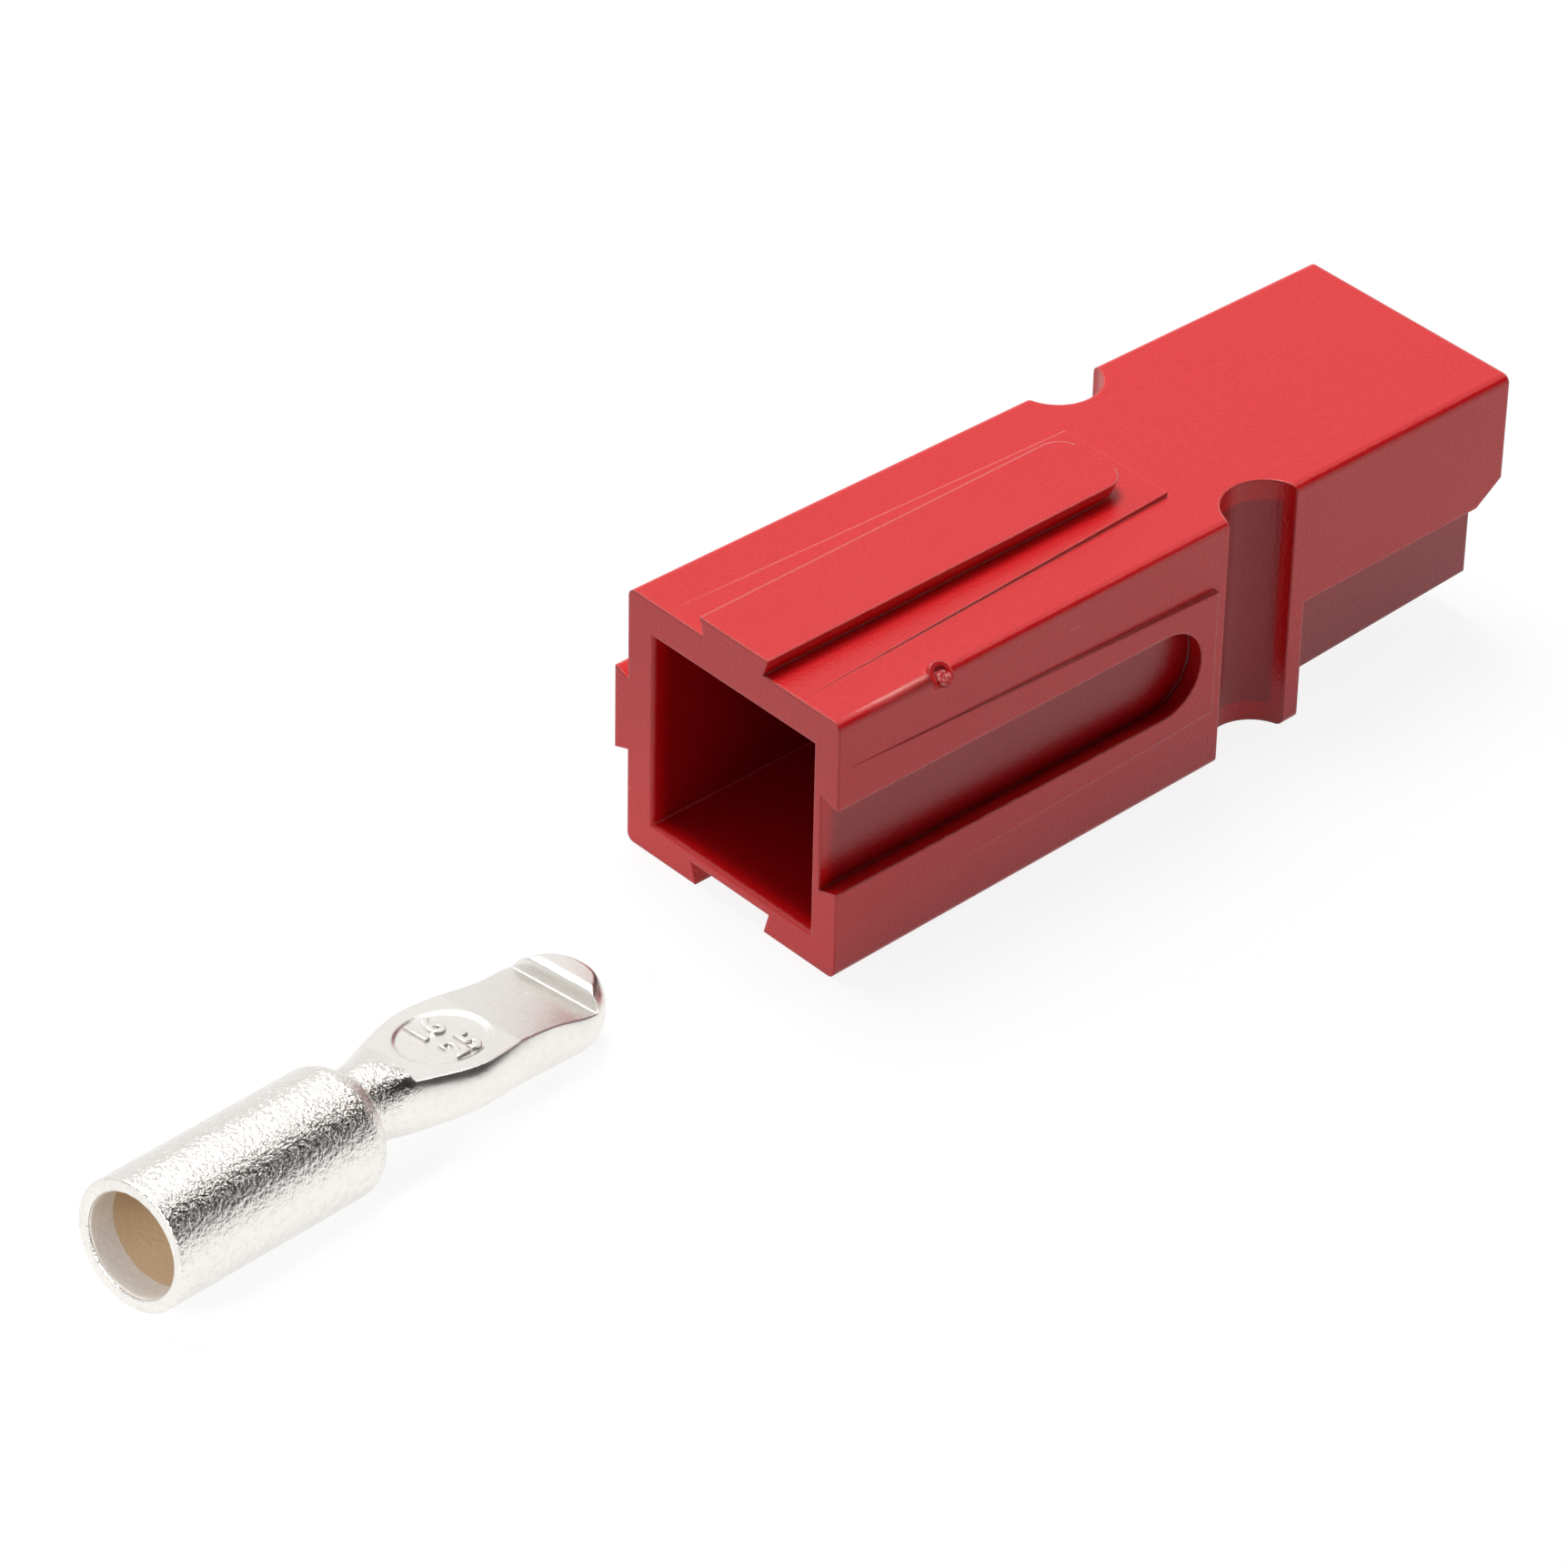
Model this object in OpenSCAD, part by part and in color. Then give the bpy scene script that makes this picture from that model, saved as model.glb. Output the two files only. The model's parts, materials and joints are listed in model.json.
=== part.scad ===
// Single-pole genderless power connector: a one-piece moulded housing, the
// plated crimp contact that clicks into it, and the leaf spring that holds
// the contact. Every pole is the same part: turned half round about its long
// axis, one housing mates with another. The contact lies in front of the wire
// entry, as it does before the wire is crimped and pushed home.
// Millimetres, +X towards the mating end, +Z up.

/* [Housing] */
// Width of the housing at its rear face
body_w = 15.75; // [14.75:0.05:18]
// Height of the housing at its rear face
body_h = 15.75; // [14.75:0.05:18]
// Length from the rear face to the tip of the hood
housing_len = 48.2; // [46.7:0.1:54]
// Distance from the rear face to the face that the mating hood butts
flange_x = 33.3; // [32.6:0.1:34.5]
// Draft angle of the two sides, in degrees
side_draft = 0.57; // [0.3:0.01:0.8]
// Draft angle of the top and the bottom, in degrees
top_draft = 0.47; // [0.3:0.01:0.8]
// Radius of the four long edges
edge_r = 0.45; // [0.2:0.05:0.8]

/* [Wire entry] */
// Wall round the wire entry
entry_wall = 2; // [1.7:0.05:2.6]
// Size of the lead-in chamfer at the rear face
lead_in = 0.25; // [0.15:0.05:0.6]
// Length of the round seat in front of the entry that guides the barrel
seat_len = 2.2; // [1.6:0.1:2.5]
// Play round the barrel in its seat
seat_clear = 0.2; // [0.1:0.05:0.4]

/* [Mating end] */
// Side wall of the hood, measured at the flange
hood_wall = 1.25; // [1:0.05:1.6]
// Roof of the hood, measured at the flange
hood_roof = 1.65; // [1.2:0.05:2]
// Clearance of a mated trough inside a hood, on each side
fit_clear = 0.15; // [0.1:0.01:0.25]
// Distance that the hood's edge reaches past the middle plane
hood_drop = 0.12; // [0.05:0.01:0.2]
// Length of the chamfer on the hood's lower front corners
hood_chamfer = 1.8; // [1:0.1:2.5]
// Distance that the trough stops short of the hood's tip
trough_setback = 0.6; // [0.4:0.1:1.5]
// Draft angle of the trough's outside, in degrees
trough_draft = 1.2; // [0.5:0.1:2]
// Thickness of the wall at the trough's front end
lip_t = 1.1; // [0.8:0.1:1.6]
// Height of that wall above the trough's floor
lip_h = 1.5; // [1:0.1:2]

/* [Dovetails] */
// Width of a key at its outer face
key_w = 5.1; // [4:0.1:6]
// Undercut on each flank of a key
key_undercut = 0.35; // [0.2:0.05:0.5]
// Height of a key
key_h = 1; // [0.8:0.05:1.2]
// Length of a key from the rear face
key_len = 25; // [20:0.5:25.5]
// Corner radius at a key's front end
key_corner_r = 1.4; // [0.8:0.1:1.8]
// Play between a key and each flank of its slot
key_clear = 0.4; // [0.2:0.05:0.5]
// Play between a key and the floor of its slot
slot_clear = 0.25; // [0.1:0.05:0.4]
// Extra length of a slot past its key
slot_over = 0.8; // [0.4:0.1:1]

/* [Pads and pin grooves] */
// Half width of the flat round each dovetail, at the rear face
pad_rear = 5; // [4.2:0.1:5.6]
// Half width of that flat at its front end
pad_front = 3.8; // [3.6:0.1:4.4]
// Length of that flat
pad_len = 26.5; // [26.4:0.1:26.8]
// Diameter of the roll pin that locks two housings side by side
pin_d = 5; // [4:0.1:5.4]
// Distance from the rear face to the pin's centre
pin_x = 29.75; // [29.4:0.05:30]
// Radius of the gate mark on the long edge
gate_r = 0.72; // [0.5:0.05:0.9]
// Distance from the rear face to the gate mark
gate_x = 6.9; // [5:0.1:9]

/* [Contact] */
// Overall length of the contact
contact_len = 32.2; // [31.8:0.1:33]
// Outer radius of the crimp barrel
barrel_r = 3.5; // [3.3:0.02:3.6]
// Length of the crimp barrel, shoulder included
barrel_len = 14.8; // [14.4:0.1:15.2]
// Radius of the wire bore
bore_r = 2.75; // [2.4:0.05:2.85]
// Depth of the wire bore's straight wall
bore_depth = 12.6; // [11.8:0.1:12.6]
// Rounding of the barrel's shoulder
shoulder_r = 1.4; // [0.8:0.1:1.6]
// Break on the edges of the barrel's mouth
mouth_break = 0.15; // [0.05:0.05:0.25]
// Radius of the neck
neck_r = 2.1; // [1.9:0.02:2.2]
// Height of the neck's centre above the barrel's axis
neck_lift = 0.6; // [0.4:0.05:0.7]
// Half width of the blade at the oval pad
pad_a = 3.55; // [3.3:0.05:3.6]
// Half height of the blade at the oval pad
pad_b = 1.98; // [1.8:0.02:2.1]
// Half width of the blade at its waist
waist_a = 2.87; // [2.6:0.01:2.95]
// Half width of the blade at its tip, which is also the tip's radius
tip_a = 3.08; // [2.9:0.02:3.2]
// Half height of the blade at its tip
tip_b = 2.06; // [1.9:0.02:2.1]
// Height of the tip's centre above the barrel's axis
tip_lift = 0.1; // [0.1:0.05:0.3]
// Height of the coined pad above the barrel's axis, at the neck
pad_h = 2.15; // [2.05:0.05:2.25]
// Height where the pad meets the wiping face
wipe_top_h = 1.8; // [1.7:0.05:1.9]
// Height of the wiping face at the foot of the detent
wipe_foot_h = 0.87; // [0.75:0.02:1.05]
// Height of the detent's crest
detent_h = 1.64; // [1.5:0.02:1.7]
// Depth of the oval recess in the pad
oval_depth = 0.22; // [0.1:0.02:0.3]

/* [Retention spring] */
// Thickness of the spring strip
strip_t = 0.35; // [0.25:0.05:0.4]
// Width of the spring strip
strip_w = 4.8; // [4:0.1:5.6]
// Rise of the spring's arch when nothing presses on it
arch_rise = 1.1; // [0.9:0.1:1.2]
// Room left for the spring under the contact's blade
spring_room = 0.9; // [0.7:0.1:1]
// Depth of the tab that anchors the spring in the floor
tab_depth = 0.7; // [0.5:0.1:0.8]

/* [Layout] */
// Distance from the housing's rear face back to the barrel's mouth
contact_back = 43.03; // [38:0.01:50]
// Sideways place of the barrel's mouth from the housing's centre line
contact_side = -5.75; // [-8:0.01:2]
// Heading of the contact from the housing's centre line, in degrees
contact_yaw = 7.2; // [0:0.1:12]

/* [Hidden] */
$fn = 96;
hull_fn = 32;     // facets round the rounded corners that are hulled
sliver = 0.01;    // thickness of the thin slices that a hull spans
over = 1;         // distance that a cut runs past the face it leaves
root = 0.5;       // depth that a raised feature is rooted in its wall

// Housing: heights and half widths along X
mid_z = body_h / 2;
function side_loss(x) = x * tan(side_draft);
function top_loss(x) = x * tan(top_draft);
function half_w(x) = body_w / 2 - side_loss(x);

// Mating end: the trough is what fits a hood that is turned half round
hood_in = half_w(flange_x) - hood_wall;
hood_top = body_h - top_loss(flange_x) - hood_roof;
hood_edge = mid_z - hood_drop;
hood_chamfer_h = hood_chamfer * 2 / 3;
trough_half = hood_in - fit_clear;
trough_base = body_h - hood_top + fit_clear;
trough_top = mid_z - fit_clear;
trough_end = housing_len - trough_setback;
trough_taper = (trough_end - flange_x) * tan(trough_draft);
channel_end = trough_end - lip_t;

// Contact: stations along its axis, counted from the barrel's mouth
blade_fill = 2.4;                        // fullness of the section at the pad and beyond
neck_s = barrel_len - 0.5;
flare_s = barrel_len + 0.9;
step_s = barrel_len + 2.7;               // where the coined pad begins
pad_s = barrel_len + 6.8;                // widest place of the pad
wipe_s = barrel_len + 9.5;               // where the wiping face begins
waist_s = barrel_len + 12.3;
tip_s = contact_len - tip_a;
detent_s = contact_len - 2.3;
crest_s = detent_s + 0.2;
tip_flat_s = crest_s + 0.4;
tip_flat_h = detent_h + 0.12;
waist_b = tip_b + 0.3;
blade_half = max(pad_a, waist_a, tip_a);
// Oval recess, centred on the pad
oval_a = 2.95;
oval_b = 2.3;
oval_s = pad_s - 0.1;
pad_slope = atan((pad_h - wipe_top_h) / (wipe_s - step_s));

// Seats for the contact inside the housing
channel_clear = 0.2;
channel_half = blade_half + channel_clear;
contact_z = mid_z - (wipe_top_h + wipe_foot_h) / 2;
channel_floor = contact_z + tip_lift - tip_b - spring_room;
tip_clear = 0.3;
seat_x = channel_end - tip_clear - (contact_len - barrel_len);
seat_r = barrel_r + seat_clear;
entry_depth = seat_x - seat_len;
window_top = contact_z + neck_lift + neck_r + seat_clear;

// Retention spring
tab_clear = 0.1;
strip_start = seat_x + 1.6;
strip_end = channel_end - 0.2;
arch_start = max(flange_x, strip_start + strip_t) + 0.6;
arch_end = strip_end - 0.8;

// Layout: the contact rests on its shoulder and on the underside of its tip.
// settle() repeats the condition that both touch the ground at angle a.
rest_s = barrel_len - shoulder_r;
function shoulder_reach(a) = (barrel_r - shoulder_r) * cos(a) + shoulder_r;
function tip_reach(a) = norm([tip_a * sin(a), tip_b * cos(a)]) - tip_lift * cos(a);
function settle(a, rounds) =
    rounds == 0
        ? a
        : settle(asin((shoulder_reach(a) - tip_reach(a)) / (tip_s - rest_s)), rounds - 1);
tilt = settle(0, 8);
heading = [cos(contact_yaw) * cos(tilt), sin(contact_yaw) * cos(tilt)];
mouth_z = shoulder_reach(tilt) + rest_s * sin(tilt);
// The origin is the middle of the footprint of both pieces
low_x = -contact_back - barrel_r * sqrt(1 - heading[0] * heading[0]);
low_y = min(contact_side - barrel_r * sqrt(1 - heading[1] * heading[1]), -body_w / 2);
high_y = body_w / 2 + key_h;
origin_shift = [-(low_x + housing_len) / 2, -(low_y + high_y) / 2, 0];

function mix(a, b, t) = a + (b - a) * t;
function ease(t) = t * t * (3 - 2 * t);
// Value at s of a smooth curve through knots [s, value]
function curve(s, knots, i = 0) =
    i >= len(knots) - 2 || s < knots[i + 1][0]
        ? mix(knots[i][1], knots[i + 1][1],
              ease(max(0, min(1, (s - knots[i][0]) / (knots[i + 1][0] - knots[i][0])))))
        : curve(s, knots, i + 1);

// ---------------------------------------------------------------- housing

// Rounded rectangle slice of the drafted block at distance x
module block_slice(x) {
    for (side = [-1, 1], z = [top_loss(x) + edge_r, body_h - top_loss(x) - edge_r])
        translate([x, side * (half_w(x) - edge_r), z])
            rotate([0, 90, 0])
                cylinder(r = edge_r, h = sliver, $fn = hull_fn);
}

// Drafted block with rounded long edges, over the whole length
module drafted_block() {
    hull() {
        block_slice(0);
        block_slice(housing_len - sliver);
    }
}

// Side view of body and hood: full height behind the flange, upper half ahead
module side_view() {
    rotate([90, 0, 0])
        linear_extrude(height = 2 * body_w, center = true)
            polygon([[-over, -over], [flange_x, -over], [flange_x, hood_edge],
                     [housing_len - hood_chamfer, hood_edge],
                     [housing_len, hood_edge + hood_chamfer_h],
                     [housing_len, body_h + over], [-over, body_h + over]]);
}

// Puts a feature drawn on top (outer face z = 0, centred on y = 0) on a side
module on_side(side) {
    lift = side % 2 == 0 ? body_h / 2 : body_w / 2;
    translate([0, 0, mid_z])
        rotate([90 * side, 0, 0])
            translate([0, 0, lift])
                children();
}

// Flat round a dovetail: parallel to the axis, so it stands proud in front
module pad() {
    translate([0, 0, -root])
        linear_extrude(height = root)
            polygon([[0, -pad_rear], [pad_len, -pad_front],
                     [pad_len, pad_front], [0, pad_rear]]);
}

// Dovetail from z = 0 to z = h, wider by undercut at the top, rounded in front
module dovetail(length, width, undercut, h, corner_r, start = 0) {
    hull()
        for (side = [-1, 1]) {
            translate([length - corner_r, side * (width / 2 - corner_r), 0])
                cylinder(r1 = corner_r - undercut, r2 = corner_r, h = h, $fn = hull_fn);
            translate([start, side * (width / 2 - undercut), 0])
                cube([sliver, sliver, sliver], center = true);
            translate([start, side * (width / 2), h - sliver / 2])
                cube([sliver, sliver, sliver], center = true);
        }
}

// Key on the outside of the body, rooted in its pad
module key() {
    dovetail(key_len, key_w, key_undercut, key_h, key_corner_r, sliver / 2);
    translate([0, -key_w / 2 + key_undercut, -root])
        cube([key_len - key_corner_r, key_w - 2 * key_undercut, root + sliver]);
}

// Slot that takes the key of the housing next door
module slot() {
    mouth = key_w - 2 * key_undercut + 2 * key_clear;
    depth = key_h + slot_clear;
    length = key_len + slot_over;
    translate([0, 0, -depth])
        mirror([0, 0, 1])
            translate([0, 0, -depth])
                dovetail(length, mouth + 2 * key_undercut, key_undercut, depth,
                         mouth / 2 + key_undercut, -over);
    translate([-over, -mouth / 2, -sliver])
        cube([length + over - mouth / 2, mouth, over]);
    translate([length - mouth / 2 - key_undercut, 0, -sliver])
        cylinder(r = mouth / 2, h = over);
}

// Square wire entry with its lead-in chamfer
module wire_entry() {
    entry_w = body_w - 2 * entry_wall;
    entry_h = body_h - 2 * entry_wall;
    translate([-over, -entry_w / 2, entry_wall])
        cube([entry_depth + over, entry_w, entry_h]);
    intersection() {
        translate([0, 0, entry_wall])
            linear_extrude(height = 2 * entry_h, center = true)
                lead_in_view(entry_w / 2);
        translate([0, 0, mid_z])
            rotate([90, 0, 0])
                linear_extrude(height = 2 * entry_w, center = true)
                    lead_in_view(entry_h / 2);
    }
}

// Half-open trapezium that widens by the lead-in towards the rear face
module lead_in_view(half) {
    wide = half + lead_in;
    polygon([[-over, -wide - over], [lead_in, -half], [lead_in, half], [-over, wide + over]]);
}

// Round seat for the barrel, then the window that lets only the blade through
module contact_passage() {
    translate([entry_depth - over, 0, contact_z])
        rotate([0, 90, 0])
            cylinder(r = seat_r, h = seat_len + over);
    intersection() {
        translate([seat_x - over, 0, contact_z])
            rotate([0, 90, 0])
                cylinder(r = channel_half, h = flange_x - seat_x + 2 * over);
        translate([seat_x - over, -channel_half, channel_floor])
            cube([flange_x - seat_x + 2 * over, 2 * channel_half, window_top - channel_floor]);
    }
    translate([seat_x, -strip_w / 2 - channel_clear, channel_floor])
        cube([flange_x - seat_x + over, strip_w + 2 * channel_clear, strip_t + arch_rise]);
    translate([strip_start - tab_clear, -strip_w / 2 - tab_clear, channel_floor - tab_depth - tab_clear])
        cube([strip_t + 2 * tab_clear, strip_w + 2 * tab_clear, tab_depth + over]);
}

// Room under the hood for the trough of the mating housing
module hood_room() {
    translate([flange_x, -hood_in, trough_top])
        cube([housing_len - flange_x + over, 2 * hood_in, hood_top - trough_top]);
}

// Half-round groove for the roll pin, open to the side of the housing
module pin_groove(side) {
    translate([pin_x, side * body_w / 2, -over])
        cylinder(d = pin_d, h = body_h + 2 * over);
}

// Trough that carries the contact's blade into the mating hood
module trough() {
    difference() {
        intersection() {
            rotate([90, 0, 0])
                linear_extrude(height = 2 * trough_half, center = true)
                    polygon([[flange_x - over, trough_base], [flange_x, trough_base],
                             [trough_end, trough_base + trough_taper],
                             [trough_end, trough_top], [flange_x - over, trough_top]]);
            linear_extrude(height = body_h)
                polygon([[flange_x - over, -trough_half], [flange_x, -trough_half],
                         [trough_end, -trough_half + trough_taper],
                         [trough_end, trough_half - trough_taper],
                         [flange_x, trough_half], [flange_x - over, trough_half]]);
        }
        translate([flange_x - 2 * over, -channel_half, channel_floor])
            cube([channel_end - flange_x + 2 * over, 2 * channel_half, body_h]);
        translate([channel_end - over, -channel_half, channel_floor + lip_h])
            cube([lip_t + 2 * over, 2 * channel_half, body_h]);
    }
}

// Round mark of the injection gate on the upper right edge
module gate_mark() {
    reach = edge_r + 0.1;
    translate([gate_x, -half_w(gate_x) + edge_r, body_h - top_loss(gate_x) - edge_r])
        rotate([45, 0, 0])
            difference() {
                translate([0, 0, -root])
                    cylinder(r = gate_r, h = root + reach);
                translate([0, 0, reach - 0.15])
                    cylinder(r = gate_r * 0.6, h = over);
            }
}

module housing() {
    color([0.85, 0.08, 0.1])
        translate(origin_shift)
            difference() {
                union() {
                    intersection() {
                        drafted_block();
                        side_view();
                    }
                    for (side = [0:3])
                        on_side(side) pad();
                    on_side(0) key();
                    on_side(3) key();
                    gate_mark();
                    trough();
                }
                on_side(1) slot();
                on_side(2) slot();
                wire_entry();
                contact_passage();
                hood_room();
                for (side = [-1, 1])
                    pin_groove(side);
            }
}

// ---------------------------------------------------------------- contact

// Crimp barrel with a rounded shoulder and a drilled wire bore
module barrel() {
    rotate([0, 90, 0])
        rotate_extrude()
            difference() {
                union() {
                    translate([0, mouth_break])
                        square([barrel_r, barrel_len - shoulder_r - mouth_break]);
                    square([barrel_r - mouth_break, mouth_break + sliver]);
                    translate([0, barrel_len - shoulder_r - sliver])
                        square([barrel_r - shoulder_r, shoulder_r + sliver]);
                    intersection() {
                        translate([barrel_r - shoulder_r, barrel_len - shoulder_r])
                            circle(r = shoulder_r);
                        square([barrel_r, barrel_len]);
                    }
                }
                translate([0, -over])
                    square([bore_r, bore_depth + over]);
                drill_tip = bore_r * tan(30);
                polygon([[0, bore_depth - sliver], [bore_r, bore_depth - sliver],
                         [0, bore_depth + drill_tip]]);
            }
}

// Section of the blade at distance s: half width, centre height, and half
// height above and below that centre, with a blunt top and a round underside
function tip_round(s, power) = sqrt(max(0, 1 - pow(max(0, (s - tip_s) / tip_a), power)));
function blade_a(s) =
    curve(s, [[neck_s, neck_r], [flare_s, neck_r], [pad_s, pad_a],
              [waist_s, waist_a], [tip_s, tip_a]]) * tip_round(s, 2);
function blade_mid(s) =
    curve(s, [[neck_s, neck_lift], [pad_s, neck_lift], [tip_s, tip_lift]]);
function blade_b(s) =
    curve(s, [[neck_s, neck_r], [flare_s, neck_r], [pad_s, pad_b],
              [waist_s, waist_b], [tip_s, tip_b]]);
function swell(v, s) = sign(v) * pow(abs(v), 2 / curve(s, [[flare_s, 2], [pad_s, blade_fill]]));
function blade_point(s, angle) =
    [s, blade_a(s) * swell(cos(angle), s),
     blade_mid(s) + blade_b(s) * tip_round(s, sin(angle) > 0 ? 6 : 2) * swell(sin(angle), s)];

// Rounded bar from the neck to the tip, skinned over its rings
module blade_bar() {
    n = 32;
    straight = 30;
    nose = 10;
    last = 0.995;
    stations = concat(
        [for (i = [0:straight]) mix(neck_s, tip_s, i / straight)],
        [for (i = [1:nose]) tip_s + tip_a * last * sin(90 * i / nose)]);
    rings = len(stations);
    points = [for (s = stations, i = [0:n - 1]) blade_point(s, 360 * i / n)];
    skin = [for (k = [0:rings - 2], i = [0:n - 1])
                let (a = k * n + i, b = k * n + (i + 1) % n)
                each [[a, a + n, b + n], [a, b + n, b]]];
    ends = [[for (i = [0:n - 1]) i], [for (i = [n - 1:-1:0]) (rings - 1) * n + i]];
    polyhedron(points = points, faces = concat(skin, ends), convexity = 4);
}

// Everything above the coined faces: pad, wiping face, detent and tip
module coined_faces() {
    rotate([90, 0, 0])
        linear_extrude(height = 4 * blade_half, center = true)
            polygon([[step_s, 2 * pad_b], [step_s, pad_h], [wipe_s, wipe_top_h],
                     [detent_s, wipe_foot_h], [crest_s, detent_h], [tip_flat_s, tip_flat_h],
                     [contact_len + over, tip_flat_h], [contact_len + over, 2 * pad_b]]);
}

// Oval recess that takes the size marking
module oval_recess() {
    translate([oval_s, 0, mix(pad_h, wipe_top_h, (oval_s - step_s) / (wipe_s - step_s))])
        rotate([0, pad_slope, 0])
            translate([0, 0, -oval_depth])
                linear_extrude(height = over)
                    polygon([for (i = [0:47])
                                 [oval_a * cos(i * 360 / 48), oval_b * sin(i * 360 / 48)]]);
}

module contact() {
    color([0.85, 0.84, 0.82])
        translate(origin_shift)
            translate([-contact_back, contact_side, mouth_z])
                rotate([0, tilt, contact_yaw])
                    union() {
                        barrel();
                        difference() {
                            blade_bar();
                            coined_faces();
                            oval_recess();
                        }
                    }
}

// ------------------------------------------------------- retention spring

// Height of the strip's underside above the floor at distance x
function arch(x) =
    x <= arch_start || x >= arch_end
        ? 0
        : arch_rise * pow(sin(180 * (x - arch_start) / (arch_end - arch_start)), 2);

// Bowed strip on the trough's floor, anchored by a tab in the window's floor
module retention_spring() {
    steps = 40;
    line = [for (i = [0:steps]) mix(strip_start, strip_end, i / steps)];
    under = [for (x = line) [x, arch(x)]];
    upper = [for (i = [steps:-1:0]) [line[i], arch(line[i]) + strip_t]];
    color([0.7, 0.72, 0.75])
        translate(origin_shift)
            translate([0, 0, channel_floor])
                rotate([90, 0, 0])
                    linear_extrude(height = strip_w, center = true) {
                        polygon(concat(under, upper));
                        translate([strip_start, -tab_depth])
                            square([strip_t, tab_depth + strip_t]);
                    }
}

housing();
contact();
retention_spring();
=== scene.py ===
"""Genderless power connector: the finish of the moulded housing, the leaf
spring and the crimp contact, and the studio they stand in. Run as a script."""

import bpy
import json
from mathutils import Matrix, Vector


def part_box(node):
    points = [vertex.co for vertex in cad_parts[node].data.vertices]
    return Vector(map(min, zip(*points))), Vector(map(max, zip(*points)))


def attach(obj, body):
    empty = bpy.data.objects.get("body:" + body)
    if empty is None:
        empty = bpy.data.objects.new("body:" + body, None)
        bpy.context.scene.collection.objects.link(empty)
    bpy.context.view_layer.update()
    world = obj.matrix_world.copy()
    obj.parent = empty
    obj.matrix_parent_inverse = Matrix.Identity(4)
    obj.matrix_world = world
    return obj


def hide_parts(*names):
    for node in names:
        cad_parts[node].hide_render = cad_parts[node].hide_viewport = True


bl_info = {
    "name": "Genderless power connector",
    "version": (1, 0, 0),
    "blender": (4, 5, 0),
    "location": "View3D > Sidebar > Connector",
    "description": "Moulded housing, leaf spring and crimp contact with their finishes and a studio",
    "category": "Object",
}

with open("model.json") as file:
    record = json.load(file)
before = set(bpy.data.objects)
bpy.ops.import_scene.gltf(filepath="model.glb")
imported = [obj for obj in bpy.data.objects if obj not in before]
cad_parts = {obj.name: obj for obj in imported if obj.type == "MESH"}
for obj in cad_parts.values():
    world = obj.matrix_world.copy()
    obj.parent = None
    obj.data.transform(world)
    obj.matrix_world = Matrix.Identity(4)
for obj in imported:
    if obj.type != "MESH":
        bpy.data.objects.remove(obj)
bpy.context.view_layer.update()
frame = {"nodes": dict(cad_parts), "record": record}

import json
import math

import bmesh
import bpy
import numpy as np
from bpy.props import FloatProperty, FloatVectorProperty, PointerProperty
from mathutils import Euler, Matrix, Vector

MM = 0.001
PAINTED_SHADE_MARGIN = 1.6 * MM  # from the body's sides to the painted shade inside
MOUTH_FROM_MOUNT = 6.0 * MM  # from the barrel mount's point to the bore's mouth
FIGURES = (("16", 1.0, -0.1), ("25", -1.05, 0.35))  # figure, then mm to the left and ahead of the oval's middle
PLASTIC_IOR = 1.49
LAMP_DISTANCE = 0.6
CAMERA_OFFSET = (-0.20902, -0.22901, 0.23668)
CAMERA_TURN = (53.597, -0.939, -42.138)  # degrees about X, Y and Z
MOUNTS = {m["name"]: m for m in frame["record"]["mounts"]}
HOUSING_LOW, HOUSING_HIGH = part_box("housing")


# ------------------------------------------------------------------- settings


def length(name, description, millimetres):
    """A size that a user can change, shown in the scene's own units."""
    return FloatProperty(
        name=name, description=description, default=millimetres * MM, min=0.0, precision=5, unit="LENGTH"
    )


def colour(name, description, value):
    return FloatVectorProperty(
        name=name, description=description, default=value, size=3, min=0.0, max=1.0, subtype="COLOR"
    )


def factor(name, description, value, top=1.0):
    return FloatProperty(name=name, description=description, default=value, min=0.0, max=top, subtype="FACTOR")


def power(name, description, watts):
    return FloatProperty(name=name, description=description, default=watts, min=0.0, precision=5, unit="POWER")


class HousingSettings(bpy.types.PropertyGroup):
    plastic: colour("Plastic", "Pigment of the moulded plastic", (0.63, 0.001, 0.004))
    # deep is a painted shade: a darker red laid on the plastic inside the wire entry, standing in for the shade that
    # falls in the cavity.
    deep: colour("Deep red", "Tone of the darker plastic inside the wire entry", (0.20, 0.0, 0.003))
    # scuff colours the fine scratches and the gate's torn lumps, and it is also the colour of the painted highlight on
    # edges that face up.
    scuff_and_highlight: colour("Scuff", "Colour of the fine scratches", (0.86, 0.30, 0.28))
    gloss: factor("Roughness", "Roughness of the moulded surface", 0.30)
    edge_radius: length("Edge radius", "Rounding that the mould leaves on edges", 0.20)
    body_width: length("Body width", "Width of the housing at its rear face", 15.75)
    gate_distance: length("Gate distance", "Distance of the gate mark from the rear face", 6.9)
    gate_radius: length("Gate radius", "Radius of the torn spot inside the gate mark", 0.40)


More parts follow.
